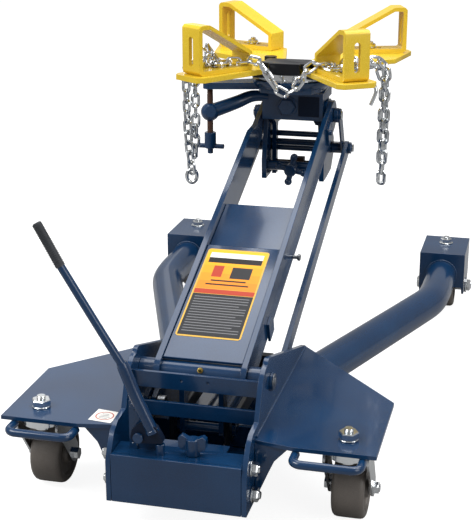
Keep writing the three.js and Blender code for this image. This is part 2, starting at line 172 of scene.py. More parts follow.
# %% The finishes
FINISH = {
    # Sprayed enamel: deep blue, glossy enough to carry soft lamps along every bend
    "navy_paint": finish("navy_enamel", "#0f385e", "#09294a", 0.2, 2.2, 0.05, coat=0.35,
                         specular=0.4),
    # The same coat in a warm yellow, a little duller, so that edges read by their shade
    "yellow_paint": finish("yellow_enamel", "#efce3a", "#dcb72b", 0.26, 2.0, 0.06, coat=0.2,
                           specular=0.35),
    # Thin black coat: only its edges and highlights part it from its own shade
    "black_paint": finish("black_enamel", "#0d1119", "#07090d", 0.3, 1.6, 0.05, coat=0.1,
                          specular=0.3),
    # Electroplated zinc: almost a mirror, so chain and bolts show the room light and dark
    "zinc": finish("bright_zinc_plate", "#f6f8f9", "#c9cdd0", 0.16, 1.2, 0.03, metal=1.0),
    # Lathe-turned steel: grain pressed short along X spreads the highlight round a bar
    "steel": finish("turned_steel", "#a9acb0", "#7c7f83", 0.32, 0.6, 0.03, metal=1.0,
                    stretch=(4, 1, 1)),
    # Rolled thread under old oil: a dull brown with only a hint of metal
    "brown_steel": finish("oiled_thread_steel", "#5a3a2a", "#241813", 0.5, 1.3, 0.12, metal=0.4),
    # Moulded resin: a warm grey satin with no mirror in it
    "wheel_resin": finish("moulded_resin", "#736c66", "#4d4843", 0.45, 1.0, 0.08),
}
# Machined brass: a small warm spark on the grease nipple
BRASS = finish("brass", "#a8904e", "#7d6a38", 0.3, 0.8, 0.02, metal=1.0)
# Dipped vinyl: a dark matt sleeve that ends the pump handle
GRIP = finish("vinyl_grip", "#3a3d42", "#2b2e33", 0.55, 0.8, 0.06)
# Painted shade: the navy enamel made darker and duller, for plates that sit in shade
PAINTED_SHADE_NAVY = finish("navy_painted_shade", "#071a33", "#041022", 0.5, 2.0, 0.05, specular=0.2)
print(len(FINISH), "slot finishes")

# %% [markdown]
# Sawn and welded plate never has a razor edge, and the CAD solids do. Modelling each radius
# would take long. Instead each plate is a merged copy of its solid with a narrow Bevel, so it
# catches a line of light along every corner. The folded brackets also get round bends.

# %% Soft-edged copies of the CAD solids
# Steel parts whose coat differs from their slot in the CAD: the pivot shaft and the plunger are
# sprayed over once fitted, and the ram is black as painted shade, deep in the dark inside the frame
COAT_OR_PAINTED_SHADE = {"ram": "black_paint", "pivot_shaft": "navy_paint", "pump_plunger": "navy_paint"}
PLATE_EDGE, SMALL_EDGE = 1.3, 0.9  # widths of the rounded corners, in millimetres
BRACKET_WIDTH, BEND_RADIUS = 50, 2.6


def settle(obj, body, slot, *nodes, material=None):
    """Gives a piece its finish, the body it rides on and the CAD nodes that it stands for."""
    obj.data.materials.clear()
    obj.data.materials.append(material or FINISH[slot])
    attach(obj, body)
    if nodes:
        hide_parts(*nodes)
    return obj


def smooth_by_angle(mesh, degrees=40):
    """Smooth faces, with sharp edges where two faces turn by more than the angle."""
    mesh.shade_smooth()
    mesh.set_sharp_from_angle(angle=math.radians(degrees))


def round_bends(bm):
    """Rounds a folded strip across its width: each level edge as long as the strip is wide."""
    bends = [e for e in bm.edges if abs(e.calc_length() - BRACKET_WIDTH * MM) < 4e-4
             and abs(e.verts[0].co.z - e.verts[1].co.z) < 1e-5]
    bmesh.ops.bevel(bm, geom=bends, offset=BEND_RADIUS * MM, segments=4, profile=0.5,
                    affect="EDGES", clamp_overlap=True)


def soft_copy(node, width_mm):
    """The node's solid with its doubles merged, flat faces joined and corners rounded."""
    mesh = NODES[node].data.copy()
    bm = bmesh.new()
    bm.from_mesh(mesh)
    bmesh.ops.remove_doubles(bm, verts=bm.verts, dist=1e-5)
    bmesh.ops.dissolve_limit(bm, angle_limit=math.radians(0.6), verts=bm.verts, edges=bm.edges)
    if node.startswith("bracket"):
        round_bends(bm)
    bm.to_mesh(mesh)
    bm.free()
    obj = bpy.data.objects.new(node + "_finished", mesh)
    bpy.context.collection.objects.link(obj)
    smooth_by_angle(mesh)
    edge = obj.modifiers.new("rounded_corners", "BEVEL")
    edge.width = width_mm * MM
    edge.segments = 2
    edge.limit_method = "ANGLE"
    edge.angle_limit = math.radians(40)
    edge.harden_normals = True
    return settle(obj, BODY_OF[node], COAT_OR_PAINTED_SHADE.get(node, SLOT_OF[node]), node)


MADE_ELSEWHERE = {"pump_handle", "star_screw", "chain_right", "chain_left"}
for side in SIDES:
    MADE_ELSEWHERE |= {f"{n}_{side}" for n in ("leg", "loop_handle", "caster_wheel",
                                               "front_wheel", "caster_stem", "front_axle")}
for node in NODES:
    if node not in MADE_ELSEWHERE:
        small = node.startswith(("yoke", "levelling", "caster"))
        soft_copy(node, SMALL_EDGE if small else PLATE_EDGE)
print(len(NODES) - len(MADE_ELSEWHERE), "solids with rounded corners")

# %% [markdown]
# Round pieces are surfaces of two parameters. turned() spins a profile about a line, and
# carried() moves a circle along a path. Both close their ends, so every shell is solid. Curve
# objects would be quicker to type, but their ends and twists are harder to hold.

# %% Surface helpers
SHARP_TURN = 35


def mesh_from_grid(rings, wrap_ends=False):
    """Vertices and quads of a grid of rings; each ring is closed on itself."""
    rings = np.asarray(rings)
    n, k = rings.shape[:2]
    i, j = np.meshgrid(np.arange(n if wrap_ends else n - 1), np.arange(k), indexing="ij")
    a, b = i * k + j, i * k + (j + 1) % k
    c, d = (i + 1) % n * k + (j + 1) % k, (i + 1) % n * k + j
    quads = np.stack([a, b, c, d], -1).reshape(-1, 4).tolist()
    if not wrap_ends:
        quads += [list(range(k))[::-1], list(range((n - 1) * k, n * k))]
    return rings.reshape(-1, 3), quads


def piece(name, shells):
    """One mesh object from closed shells given as (points in mm, faces)."""
    points, faces, start = [], [], 0
    for p, f in shells:
        points.append(place(p))
        faces += [[v + start for v in q] for q in f]
        start += len(p)
    mesh = bpy.data.meshes.new(name)
    mesh.from_pydata(np.concatenate(points).tolist(), [], faces)
    bm = bmesh.new()
    bm.from_mesh(mesh)
    bmesh.ops.recalc_face_normals(bm, faces=bm.faces)
    bm.to_mesh(mesh)
    bm.free()
    smooth_by_angle(mesh, SHARP_TURN)
    obj = bpy.data.objects.new(name, mesh)
    bpy.context.collection.objects.link(obj)
    return obj


def fit(name, shells, body, slot, *nodes, material=None):
    """Makes a piece from its shells and settles it on its body."""
    return settle(piece(name, shells), body, slot, *nodes, material=material)


def square_to(axis):
    """A unit vector along the axis and two more, square to it and to each other."""
    a = np.array(axis, float) / np.linalg.norm(axis)
    u = np.cross(a, UP if abs(a[2]) < 0.9 else ALONG)
    u /= np.linalg.norm(u)
    return a, u, np.cross(a, u)


def full_turn(count):
    """Equal angles round a circle, without the last, which is the first again."""
    return np.linspace(0, 2 * np.pi, count, endpoint=False)


def turned(profile, centre, axis, sides=56):
    """Spins (distance, radius) pairs about an axis: centre + d a + r (u cos w + v sin w)."""
    a, u, v = square_to(axis)
    w = full_turn(sides)[:, None]
    circle = u * np.cos(w) + v * np.sin(w)
    rings = [np.array(centre) + d * a + r * circle for d, r in profile]
    return mesh_from_grid(rings)


def bar(centre, axis, low, high, radius, sides=40, chamfer=0.8):
    """A round or six-sided bar with chamfered ends: a turned profile of four points."""
    c = chamfer
    return turned([(low, radius - c), (low + c, radius), (high - c, radius), (high, radius - c)],
                  centre, axis, sides)


def hex_nut(centre, axis, low, high, corner_radius):
    """A six-sided bar with broken corners; corner_radius is from its axis to a corner."""
    return bar(centre, axis, low, high, corner_radius, 6, 1.6)


def smooth_path(points, count):
    """Catmull-Rom curve through the points, sampled evenly in its parameter."""
    p = np.asarray(points, float)
    p = np.vstack([2 * p[0] - p[1], p, 2 * p[-1] - p[-2]])
    t = np.linspace(0, len(p) - 3 - 1e-9, count)
    i = t.astype(int)
    f = (t - i)[:, None]
    a, b, c, d = p[i], p[i + 1], p[i + 2], p[i + 3]
    return 0.5 * (2 * b + (c - a) * f + (2 * a - 5 * b + 4 * c - d) * f**2
                  + (3 * b - a - 3 * c + d) * f**3)


def along_path(points):
    """The distance run at each point of a path: the sum of the steps before it."""
    steps = np.linalg.norm(np.diff(points, axis=0), axis=1)
    return np.concatenate([[0], np.cumsum(steps)])


def carried(path, radius, up=UP, sides=32, closed=False):
    """Moves a circle along a path: p + r (s cos w + n sin w), with s and n square to the path.

    radius is a number, or one number for each point.
    """
    p = np.asarray(path, float)
    t = np.roll(p, -1, 0) - np.roll(p, 1, 0) if closed else np.gradient(p, axis=0)
    t /= np.linalg.norm(t, axis=1, keepdims=True)
    s = np.cross(t, up)
    s /= np.linalg.norm(s, axis=1, keepdims=True)
    n = np.cross(s, t)
    w = full_turn(sides)[None, :, None]
    r = np.broadcast_to(radius, len(p))[:, None, None]
    rings = p[:, None] + r * (s[:, None] * np.cos(w) + n[:, None] * np.sin(w))
    return mesh_from_grid(rings, closed)


def mirrored(points, sign):
    """The points on the right side for sign 1, or flipped across X for sign -1."""
    return np.asarray(points, float) * (sign, 1, 1)


print("surface helpers ready")

# %% [markdown]
# Each leg is one length of round tube with a bend at the front, so a circle is carried along
# its centre line. At the back it is sawn at a slant to lie flat on the side plate: the first
# ring is slid along the tube until it meets the plate.

# %% Legs
LEG_PATH = [(109, 410, 92), (157, 541, 92), (212, 690, 92), (262, 826, 92), (282, 886, 92),
            (288.6, 940, 92), (289.6, 1000, 92), (289.6, 1070, 92)]
LEG_X, LEG_TIP_Y, LEG_Z = LEG_PATH[-1]
LEG_R, LEG_SIDES = 32, 64
LEG_CUT_X = 109.3
CUT_END_Y = 512  # where the slanted cut is over and whole rings begin


def leg_tube(sign):
    """The tube along its path, with the first ring slid along it to the plane of the cut."""
    path = smooth_path(LEG_PATH, 90)
    path = mirrored(np.vstack([path[:1], path[path[:, 1] > CUT_END_Y]]), sign)
    tube, quads = carried(path, LEG_R, sides=LEG_SIDES)
    step = path[1] - path[0]
    first = tube[:LEG_SIDES]
    first += np.outer((sign * LEG_CUT_X - first[:, 0]) / step[0], step)
    return tube, quads


for side, sign in SIDES.items():
    fit(f"leg_tube_{side}", [leg_tube(sign)], "frame", "navy_paint", f"leg_{side}")
print("legs made")

# %% [markdown]
# A weld bead is a row of small overlapping pools of steel. A tube whose radius ripples along
# its path gives that look. One bead goes round the slanted root of each leg, which is a long
# oval on the side plate, and one round its tip at the wheel housing.

# %% Weld beads on the legs
ROOT_CENTRE_Y, ROOT_HALF_LENGTH, ROOT_HALF_HEIGHT = 411, 94, 33
TIP_BEAD_R = LEG_R + 0.6


def weld(points, radius=2.6, up=UP, closed=True, wave_mm=6.0):
    """A bead along a path: radius times 1 + 0.16 sin(2 pi distance / wave)."""
    p = np.asarray(points, float)
    r = radius * (1 + 0.16 * np.sin(2 * np.pi * along_path(p) / wave_mm))
    return carried(p, r, up, 10, closed)


for side, sign in SIDES.items():
    w = full_turn(140)
    root = np.stack([np.full_like(w, SIDE_PLATE_X + 0.8), ROOT_CENTRE_Y + ROOT_HALF_LENGTH * np.cos(w),
                     LEG_Z + ROOT_HALF_HEIGHT * np.sin(w)], 1)
    tip = np.stack([LEG_X + TIP_BEAD_R * np.cos(w), np.full_like(w, LEG_TIP_Y - 0.2),
                    LEG_Z + TIP_BEAD_R * np.sin(w)], 1)
    fit(f"leg_welds_{side}", [weld(mirrored(root, sign), 2.6, ACROSS),
                              weld(mirrored(tip, sign), 2.4, ALONG)], "frame", "navy_paint")
print("leg welds made")

# %% [markdown]
# The loop handles on the rear wings are round bar bent twice. Each bend is a quarter circle
# worked out by its formula, and the straight ends run in under the wing.

# %% Loop handles
LOOP_Z, LOOP_BEND, LOOP_BAR_R = 135.2, 14, 6.5
LOOP_NEAR_X, LOOP_FAR_X, LOOP_CENTRE_Y = 186, 258, 27


def loop_route():
    """Straight in, a quarter circle of each bend's radius about its centre, straight out."""
    q = np.linspace(0, np.pi / 2, 10)
    near = np.stack([LOOP_NEAR_X - LOOP_BEND * np.cos(q), LOOP_CENTRE_Y - LOOP_BEND * np.sin(q),
                     0 * q + LOOP_Z], 1)
    far = np.stack([LOOP_FAR_X + LOOP_BEND * np.sin(q), LOOP_CENTRE_Y - LOOP_BEND * np.cos(q),
                    0 * q + LOOP_Z], 1)
    near_x, far_x = LOOP_NEAR_X - LOOP_BEND, LOOP_FAR_X + LOOP_BEND
    return np.vstack([[(near_x, 46, LOOP_Z), (near_x, 36, LOOP_Z)], near, far,
                      [(far_x, 36, LOOP_Z), (far_x, 46, LOOP_Z)]])


for side, sign in SIDES.items():
    fit(f"loop_grip_{side}", [carried(mirrored(loop_route(), sign), LOOP_BAR_R, sides=28)],
        "frame", "navy_paint", f"loop_handle_{side}")
print("loop handles made")

# %% [markdown]
# The wheels are moulded resin with a crowned tread and a dished face round a raised hub. The
# mould is round, so each wheel is one turned profile: the left half is listed from the hub
# out to the tread, and the right half is its mirror image.

# %% Wheels
HALF_WHEEL = 25
WHEEL_FACE = [(-2, 6.6), (-2, 15), (-1, 16), (5, 17.5), (6.5, 20), (6.5, 33), (5, 35.5),
              (0.6, 37), (0, 38), (0, 44.5), (1, 46.5), (3.5, 48.8), (7, 49.8)]
WHEEL_PROFILE = [(d - HALF_WHEEL, r) for d, r in WHEEL_FACE] + [(-12, WHEEL_R), (12, WHEEL_R)]
WHEEL_PROFILE += [(-d, r) for d, r in WHEEL_PROFILE[::-1][2:]]
for side, sign in SIDES.items():
    for node, body, x, y in (("caster_wheel", "rear_roller", CASTER_X, CASTER_WHEEL_Y),
                             ("front_wheel", "front_roller", FRONT_X, FRONT_WHEEL_Y)):
        moulding = turned(WHEEL_PROFILE, (sign * x, y, WHEEL_R), ACROSS, 96)
        fit(f"{node}_moulding_{side}", [moulding], f"{body}_{side}", "wheel_resin",
            f"{node}_{side}")
print("wheels made")

# %% [markdown]
# A long screw is a helix. Its radius rises and falls with distance / pitch - angle, so the
# crests climb round it, and no thread has to be cut. Bolts, nuts and washers are chamfered
# bars with six or many sides, and each stack of them shares one centre line.

# %% Threads, bolts and axles
THREAD_DEPTH = 0.55


def threaded(centre, axis, low, high, radius, pitch=3.0, sides=28):
    """A screw: centre + d a + r (u cos w + v sin w), where r ripples with d / pitch - w."""
    a, u, v = square_to(axis)
    d = np.linspace(low, high, int((high - low) / pitch * 8))[:, None]
    w = full_turn(sides)[None]
    r = radius - THREAD_DEPTH + THREAD_DEPTH * np.cos(2 * np.pi * d / pitch - w)
    rings = (np.array(centre) + d[..., None] * a
             + r[..., None] * (u * np.cos(w)[..., None] + v * np.sin(w)[..., None]))
    return mesh_from_grid(rings)


def caster_bolt(sign):
    """Nut, washer and thread end of a caster's stem, and the bearing rings under the wing."""
    c = (sign * CASTER_X, CASTER_STEM_Y, 0)
    return [bar(c, UP, 137, 150, 10), hex_nut(c, UP, 150.6, 162, 15.6),
            bar(c, UP, 148.7, 151, 14.6), threaded(c, UP, 160, 167, 7, 2.5),
            bar(c, UP, 134, 141.7, 26), bar(c, UP, 118, 138, 8), bar(c, UP, 112, 121.7, 13)]


def front_axle_bolt(sign):
    """The axle with a nut and a washer outside each cheek and a spacer inside each."""
    c = (sign * FRONT_X, FRONT_WHEEL_Y, WHEEL_R)
    return [bar(c, ACROSS, -54, 62, 7.9), hex_nut(c, ACROSS, 51.4, 60, 13),
            hex_nut(c, ACROSS, -59, -51, 13), bar(c, ACROSS, 49.1, 51.6, 17),
            bar(c, ACROSS, -51.2, -49.1, 17), bar(c, ACROSS, 27.5, 43.5, 12),
            bar(c, ACROSS, -43.5, -27.5, 12)]


def housing_bolt(sign):
    """Washer and nut on top of a front housing, and the bolt's shank and head under it."""
    c = (sign * FRONT_X, HOUSING_BOLT_Y, 0)
    return [bar(c, UP, 139.9, 142, 15), hex_nut(c, UP, 141.8, 151, 12.7),
            bar(c, UP, 124, 155, 6.8), hex_nut(c, UP, 124, 132.5, 12.7)]


def side_bolts(sign):
    """Two bolts through a side plate near the handle end."""
    shells = []
    for y, z in ((30, 112), (33, 68)):
        c, out = (sign * SIDE_PLATE_X, y, z), (sign, 0, 0)
        shells += [bar(c, out, 0.2, 2.6, 13), hex_nut(c, out, 2.5, 11, 11), bar(c, out, 9, 14, 6)]
    return shells


for side, sign in SIDES.items():
    fit(f"caster_bolt_{side}", caster_bolt(sign), "frame", "zinc", f"caster_stem_{side}")
    fit(f"front_axle_bolt_{side}", front_axle_bolt(sign), "frame", "zinc", f"front_axle_{side}")
    fit(f"housing_bolt_{side}", housing_bolt(sign), "frame", "zinc")
    fit(f"side_bolts_{side}", side_bolts(sign), "frame", "zinc")
print("bolts and axles made")

# %% [markdown]
# The pump handle is a thin pole in a bent sleeve, and its grip is dipped vinyl with ribs. The
# ribs are a square wave in the radius along the path. All three lie in one upright plane. The
# lever plate at the foot works the plunger, and its three pins stay on the frame; the plate is
# drawn in painted shade, darker than the rest of the navy.

# %% Pump handle
HANDLE_Y = 20
RIB_COUNT = 26


def in_handle_plane(points):
    """(x, z) pairs to points in the handle's plane."""
    return [(x, HANDLE_Y, z) for x, z in points]


sleeve = smooth_path(in_handle_plane([(-40, 160), (-66, 217), (-85, 265)]), 40)
sleeve_radius = np.where(np.arange(40) > 37, 8.2, 9.3)
pole = smooth_path(in_handle_plane([(-82, 258), (-111, 304), (-140, 351), (-176, 410)]), 60)
grip = smooth_path(in_handle_plane([(-174.5, 407), (-193, 441), (-209, 470)]), 160)
share = np.linspace(0, 1, 160)
rib_height = 0.35 * np.sign(np.sin(2 * np.pi * share * RIB_COUNT))
grip_radius = 7.3 + rib_height * (share > 0.05) * (share < 0.95)
grip_radius *= np.where(share > 0.985, 0.8, 1)
fit("pump_pole", [carried(sleeve, sleeve_radius, ALONG, 40), carried(pole, 6.3, ALONG, 32),
                  bar((-40, HANDLE_Y, 160), (45, 0, -100), -3, 3.2, 10.4)],
    "handle", "navy_paint", "pump_handle")
lever = [(-68, 140), (-31, 143), (-24, 143.5), (-22, 148), (-24, 152), (-33, 168), (-52, 178),
         (-70, 162), (-73, 149)]
lever_plate = [[(x, y, z) for x, z in lever] for y in (14, 27)]
# Painted shade: the lever plate sits low in shade, so it takes the darkened navy
fit("pump_lever", [mesh_from_grid(lever_plate)], "handle", "navy_paint", material=PAINTED_SHADE_NAVY)
fit("pump_grip", [carried(grip, grip_radius, ALONG, 40)], "handle", None, material=GRIP)
fit("pump_link_pins", [bar((-60, 0, 150), ALONG, 9.4, 13.8, 8),
                       bar((-73, 0, 192), ALONG, 29.6, 31.4, 5.5),
                       bar((-72, 0, 128), ALONG, 27.6, 31.4, 6)], "frame", "navy_paint")
print("pump handle made")

# %% [markdown]
# The star knob is a cast hand wheel with four arms and a ball on each, on a threaded screw.
# Each arm is a circle carried outwards with a shrinking radius, and each ball is a turned
# half circle. The small tee handle under the elbow is three plain bars.

# %% Star knob and tee handle
SCREW_Z, KNOB_Y = 370, 826
KNOB_REACH, KNOB_BALL_R = 26, 7.6
KNOB_HUB = [(-13, 10), (-11, 12.5), (8, 12.5), (10, 10)]
TEE_X, TEE_Y = -158, 790


def ball_profile(radius, degrees, count):
    """(distance, radius) pairs of a sphere: radius times (sin q, cos q)."""
    return [(radius * math.sin(q), radius * math.cos(q))
            for q in np.radians(np.linspace(-degrees, degrees, count))]


def star_knob():
    """The hub and four arms, a quarter turn apart, each with a ball at its end."""
    centre = np.array((0, KNOB_Y, SCREW_Z))
    shells = [turned(KNOB_HUB, centre, ALONG)]
    end_ball = [(KNOB_REACH + d, r) for d, r in ball_profile(KNOB_BALL_R, 88, 15)]
    for a in np.radians([77, 167, 257, 347]):
        out = np.array((math.cos(a), 0, math.sin(a)))
        arm = [centre, centre + 12 * out, centre + KNOB_REACH * out]
        shells += [carried(arm, [8.5, 6.2, 5.2], ALONG, 20), turned(end_ball, centre, out, 24)]
    return shells


fit("star_knob", star_knob(), "star", "navy_paint", "star_screw")
fit("star_thread", [threaded((0, 0, SCREW_Z), ALONG, 838, 913, 6)], "star", "brown_steel")
fit("tee_thread", [threaded((TEE_X, TEE_Y, 0), UP, 446, 532, 6.2)], "tee", "brown_steel")
fit("tee_handle", [bar((TEE_X, TEE_Y, 0), UP, 414, 446, 11.6),
                   bar((0, TEE_Y, 418), ACROSS, -186, -130, 4.9),
                   bar((TEE_X, TEE_Y, 0), UP, 403, 416, 5.6)], "tee", "navy_paint")
print("star knob and tee handle made")

# %% [markdown]
# The elbow that carries the tee screw is one iron casting: a bent arm that swells towards a
# round boss. A circle of growing radius makes the arm, and a turned sphere makes the boss.

# %% Elbow casting
BOSS = (TEE_X, TEE_Y, 487)
elbow_path = smooth_path([(-60, 836, 515), (-84, 829, 514), (-112, 813, 503), BOSS], 40)
elbow_radius = np.linspace(10.2, 14.6, 40)
fit("elbow_casting", [carried(elbow_path, elbow_radius, sides=36),
                      turned(ball_profile(18.4, 89, 25), BOSS, UP, 40),
                      bar(BOSS, (0.3, -1, 0.2), 5, 20.5, 12.5, 40, 1.5)], "tilt", "navy_paint")
print("elbow casting made")

# %% [markdown]
# Welded-link chain hangs from the front arms. It could be simulated, but its few runs hang
# almost straight, so each follows a listed path. A link is a closed stadium of wire, and
# each is rolled a quarter turn against the last. A run is worked out as whole arrays.

# %% Chain links
WIRE_R, LINK_LONG, LINK_WIDE = 3.0, 32.0, 20.5
PITCH = LINK_LONG - 4 * WIRE_R
UNEVEN_ROLL = 0.22  # radians by which real links stray from the quarter turn


def link_shape(n=20, k=7):
    """One link of round wire, along X and lying in XY: two half circles r, set apart."""
    r = LINK_WIDE / 2 - WIRE_R
    half = LINK_LONG / 2 - WIRE_R - r
    w = full_turn(n) + np.pi / n
    line = np.stack([r * np.cos(w) + half * np.sign(np.cos(w)), r * np.sin(w), 0 * w], 1)
    return carried(line, WIRE_R, UP, k, closed=True)


def chain(name, body, points, *nodes, twist=0.0):
    """Links at equal steps along a smooth path; link i is rolled by i quarter turns."""
    fine = smooth_path(points, 600)
    run = along_path(fine)
    where = np.arange(0, run[-1], PITCH)
    at, ahead, behind = (np.stack([np.interp(where + d, run, fine[:, i]) for i in range(3)], 1)
                         for d in (0, 6, -6))
    t = ahead - behind
    t /= np.linalg.norm(t, axis=1, keepdims=True)
    s = np.cross(t, (0.31, 0.95, 0.05))
    s /= np.linalg.norm(s, axis=1, keepdims=True)
    n = np.cross(t, s)
    count = np.arange(len(where))
    roll = np.pi / 2 * count + twist + UNEVEN_ROLL * np.sin(count * 2.3)
    side = s * np.cos(roll)[:, None] + n * np.sin(roll)[:, None]
    axes = np.stack([t, side, np.cross(t, side)], 1)
    v, faces = link_shape()
    shells = [(v @ turn + centre, faces) for turn, centre in zip(axes, at)]
    return fit(name, shells, body, "zinc", *nodes)


print("a link every", PITCH, "mm")

# %% [markdown]
# One run swags between the front arms. On each of those arms a few links lie in a heap and
# two falls hang over the edge, side by side. The left fall ends in a plain ring, and an open
# hook hangs beside the right one. Each run rides the arm that it lies on, the swag the table.

# %% Chain runs
PLATE_TOP = 594
chain("chain_swag", "table", [(-124, 702, PLATE_TOP + 3), (-104, 722, PLATE_TOP + 4),
                              (-78, 728, PLATE_TOP + 5), (-50, 727, 601), (-30, 727, 580),
                              (-12, 727, 554), (3, 727, 543), (17, 727, 545), (32, 727, 562),
                              (50, 727, 589), (70, 727, PLATE_TOP + 6),
                              (96, 714, PLATE_TOP + 3)])
chain("chain_tail_left", "arm_front_left", [(-140, 706, 602), (-158, 702, 604), (-174, 700, 594),
                                            (-180, 700, 566), (-180, 701, 500), (-176, 700, 440),
                                            (-171, 700, 388)], "chain_left")
chain("chain_tail_left_inner", "arm_front_left", [(-134, 716, 600), (-150, 712, 602),
                                                  (-163, 709, 588), (-165, 707, 560),
                                                  (-164, 706, 500), (-167, 708, 420)], twist=0.7)
chain("chain_heap_left", "arm_front_left", [(-146, 700, 600), (-138, 686, 604), (-136, 694, 620),
                                            (-142, 706, 626), (-132, 712, 610),
                                            (-118, 700, 599), (-106, 714, 599)])
END_RING_AT, END_RING_SIZE, END_RING_WIRE_R = (-171, 700, 377), (9.5, 2, 13), 3.8
ring_angle = full_turn(40)[:, None]
ring_wave = np.hstack([np.cos(ring_angle), np.cos(ring_angle), np.sin(ring_angle)])
end_ring = carried(END_RING_AT + END_RING_SIZE * ring_wave, END_RING_WIRE_R, ALONG, 20, closed=True)
fit("chain_end_ring", [end_ring], "arm_front_left", "zinc")
chain("chain_tail_right", "arm_front_right", [(146, 706, 606), (166, 728, 610), (186, 744, 604),
                                              (195, 750, 584), (195, 750, 540), (194, 751, 450),
                                              (192, 751, 378)], "chain_right")
chain("chain_tail_right_inner", "arm_front_right", [(150, 716, 600), (168, 738, 602),
                                                    (183, 752, 588), (189, 756, 556),
                                                    (189, 758, 500), (190, 757, 376)], twist=0.8)
chain("chain_heap_right", "arm_front_right", [(96, 716, 599), (112, 700, 600), (128, 706, 604),
                                              (118, 722, 602), (136, 716, 610), (152, 706, 604)])
hook_path = smooth_path([(172, 716, 572), (178, 716, 566), (181, 715, 556), (178, 714, 545),
                         (172, 713, 530)], 40)
fit("chain_hook", [carried(hook_path, 3.4, ALONG, 20)], "arm_front_right", "zinc")
print("chain runs made")

# %% [markdown]
# The data plate on the cover is a printed sheet: a pale border, a warm upper field, a bright
# band and a dark lower field with fine rules. It carries no words. One texture could hold all
# of it, but each field is its own thin sheet, so its edges stay crisp at any distance.

# %% Printing inks
INKS = {
    "cream": "#dcae4a", "black": "#101012", "white": "#eceae4",
    "red": "#b03a22", "charcoal": "#232428", "grey": "#7d7e82",
}
AMBER_BANDS = 5
for k in range(AMBER_BANDS):  # The upper field warms from yellow to orange down the plate
    INKS[f"amber_{k}"] = "#%02x%02x%02x" % (243 - 2 * k, 180 - 11 * k, 28 + k)
# Screen-printed vinyl film: flat colour with a dull, even sheen
PRINT = {ink: finish("printed_" + ink, hex_code, hex_code, 0.45, 0.8, 0.005, specular=0.25)
         for ink, hex_code in INKS.items()}
print(len(PRINT), "inks")

# %% Data plate
PLATE_X, PLATE_T = (-59.6, 48.8), (57.6, 286.2)
FILM_H, FILM_THICK, PRINT_STEP = 25.75, 0.2, 0.12
BORDER_CORNER, FIELD_CORNER = 6, 0.8


def rounded_outline(x0, x1, y0, y1, radius):
    """A rectangle whose corners are quarter circles: corner centre + radius * (cos, sin)."""
    q = np.linspace(0, np.pi / 2, 7)
    centres = ((x1 - radius, y1 - radius), (x0 + radius, y1 - radius),
               (x0 + radius, y0 + radius), (x1 - radius, y0 + radius))
    return [(x + radius * math.cos(a), y + radius * math.sin(a))
            for k, (x, y) in enumerate(centres) for a in q + k * np.pi / 2]


def sheet_on_cover(name, ink, x0, x1, t0, t1, level):
    """A thin rounded rectangle on the cover, raised by one step for each print below it."""
    low = FILM_H + PRINT_STEP * level
    outline = rounded_outline(x0, x1, t0, t1, BORDER_CORNER if level == 0 else FIELD_CORNER)
    rings = [[on_arm(x, t, h) for x, t in outline] for h in (low, low + FILM_THICK)]
    return fit(name, [mesh_from_grid(rings)], "arm", None, material=PRINT[ink])


def plate_area(u0, u1, v0, v1):
    """Fractions across and down the plate to x and t; v runs from the top edge down."""
    (xa, xb), (ta, tb) = PLATE_X, PLATE_T
    return xa + u0 * (xb - xa), xa + u1 * (xb - xa), tb - v1 * (tb - ta), tb - v0 * (tb - ta)


FIELDS = [
    ("border", "cream", (0, 1, 0, 1), 0),
    *((f"upper_{k}", f"amber_{k}", (0.025, 0.975, 0.015 + 0.091 * k, 0.106 + 0.091 * k), 1)
      for k in range(AMBER_BANDS)),
    ("title_light", "white", (0.07, 0.93, 0.045, 0.105), 2),
    ("title_dark", "black", (0.07, 0.93, 0.105, 0.165), 2),
    ("emblem", "red", (0.20, 0.36, 0.2, 0.33), 2),
    ("badge", "charcoal", (0.5, 0.82, 0.21, 0.34), 2),
    ("rule_band", "black", (0.22, 0.78, 0.365, 0.38), 2),
    ("rule_band_low", "black", (0.16, 0.84, 0.41, 0.425), 2),
    ("alert", "red", (0.025, 0.975, 0.475, 0.525), 2),
    ("lower", "charcoal", (0.025, 0.975, 0.53, 0.985), 1),
]
for name, ink, area, level in FIELDS:
    sheet_on_cover("plate_" + name, ink, *plate_area(*area), level)


RULE_COUNT, RULE_TOP, RULE_STEP, RULE_THICK = 14, 0.56, 0.029, 0.007
RULE_LEFT, RULE_RIGHT, SHORT_BY = 0.07, 0.93, 0.12


def plate_rule(row):
    """One fine line of the lower field; every fourth is short, as the end of a paragraph."""
    v = RULE_TOP + row * RULE_STEP
    right = RULE_RIGHT - SHORT_BY * (row % 4 == 3)
    x0, x1, t0, t1 = plate_area(RULE_LEFT, right, v, v + RULE_THICK)
    corners = ((x0, t0), (x1, t0), (x1, t1), (x0, t1))
    return mesh_from_grid([[on_arm(x, t, h) for x, t in corners] for h in (26.0, 26.1)])


rules = [plate_rule(row) for row in range(RULE_COUNT)]
fit("plate_rules", rules, "arm", None, material=PRINT["grey"])
print(len(FIELDS), "printed fields and", RULE_COUNT, "rules")

# %% [markdown]
# A small white label sits askew on the left wing, with a red ring printed on it and a few
# grey dashes that stand for writing. It is three thin pieces, one over the other.

# %% Wing sticker
STICKER_Z, INK_Z = 148.6, 148.9
RING_X, RING_Y, RING_OUT, RING_IN = -135, 76, 14.5, 12.9


def flat_patch(corners, z0, z1):
    """A sheet with the given corners, from z0 up to z1."""
    return mesh_from_grid([[(x, y, z) for x, y in corners] for z in (z0, z1)])


def dash(x0, y0, long, wide=1.6):
    """A short printed line from its lower left corner."""
    corners = ((x0, y0), (x0 + long, y0), (x0 + long, y0 + wide), (x0, y0 + wide))
    return flat_patch(corners, INK_Z, INK_Z + 0.15)


